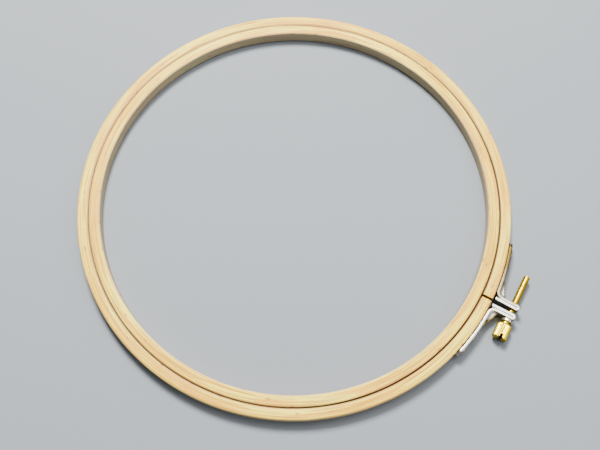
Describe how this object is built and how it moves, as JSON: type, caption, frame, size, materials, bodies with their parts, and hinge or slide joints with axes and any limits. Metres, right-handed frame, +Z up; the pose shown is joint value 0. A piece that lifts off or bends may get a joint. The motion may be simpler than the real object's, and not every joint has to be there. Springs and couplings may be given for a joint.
{
  "type": "embroidery hoop",
  "caption": "Round wooden embroidery hoop: a closed inner ring held in a split outer ring that a knurled brass thumb screw draws together through pressed nickel brackets.",
  "frame": {"origin": "middle of the overall length and width, on the flat underside that the hoop lies on", "axes": "+Z up through the rings, +X from the rings' centre towards the clamp, +Y along the screw towards its threaded tip"},
  "size_m": [0.2566, 0.2414, 0.008],
  "materials": {
    "beech_inner": "smooth sanded beech, lightly sealed",
    "beech_outer": "smooth sanded beech, lightly sealed",
    "nickel_plate": "bright nickel plate on pressed steel strip",
    "nail_steel": "plain bright steel",
    "pale_brass": "pale bright brass plate",
    "screw_brass": "bright brass, knurled head and rolled thread"
  },
  "bodies": {
    "stud_side": {"outer_ring_stud_side": "beech_outer", "bracket_stud_side": "nickel_plate", "nail_stud_side_1": "nail_steel", "nail_stud_side_2": "nail_steel"},
    "head_side": {"outer_ring_head_side": "beech_outer", "bracket_head_side": "nickel_plate", "nail_head_side_1": "nail_steel", "nail_head_side_2": "nail_steel"},
    "washer": {"washer": "pale_brass"},
    "screw": {"thumb_screw": "screw_brass"},
    "inner_ring": {"inner_ring": "beech_inner"}
  },
  "joints": [
    {"name": "ring_open", "type": "hinge", "parent": "stud_side", "child": "head_side", "pos_m": [-0.12835, 0, 0.004], "axis": [0, 0, -1], "range_deg": [0, 1.14]},
    {"name": "screw_travel", "type": "slide", "parent": "stud_side", "child": "washer", "axis": [0, -1, 0], "range_m": [0, 0.005]},
    {"name": "screw_turn", "type": "hinge", "parent": "washer", "child": "screw", "pos_m": [0.12445, 0, 0.004], "axis": [0, -1, 0], "range_deg": [0, 3001]},
    {"name": "ring_lift", "type": "slide", "parent": "stud_side", "child": "inner_ring", "axis": [0, 0, 1], "range_m": [0, 0.03]}
  ],
  "couplings": [
    {"joint": "screw_turn", "follows": "screw_travel", "rad_per_m": 10472},
    {"joint": "ring_open", "follows": "screw_travel", "rad_per_m": 3.9557}
  ]
}
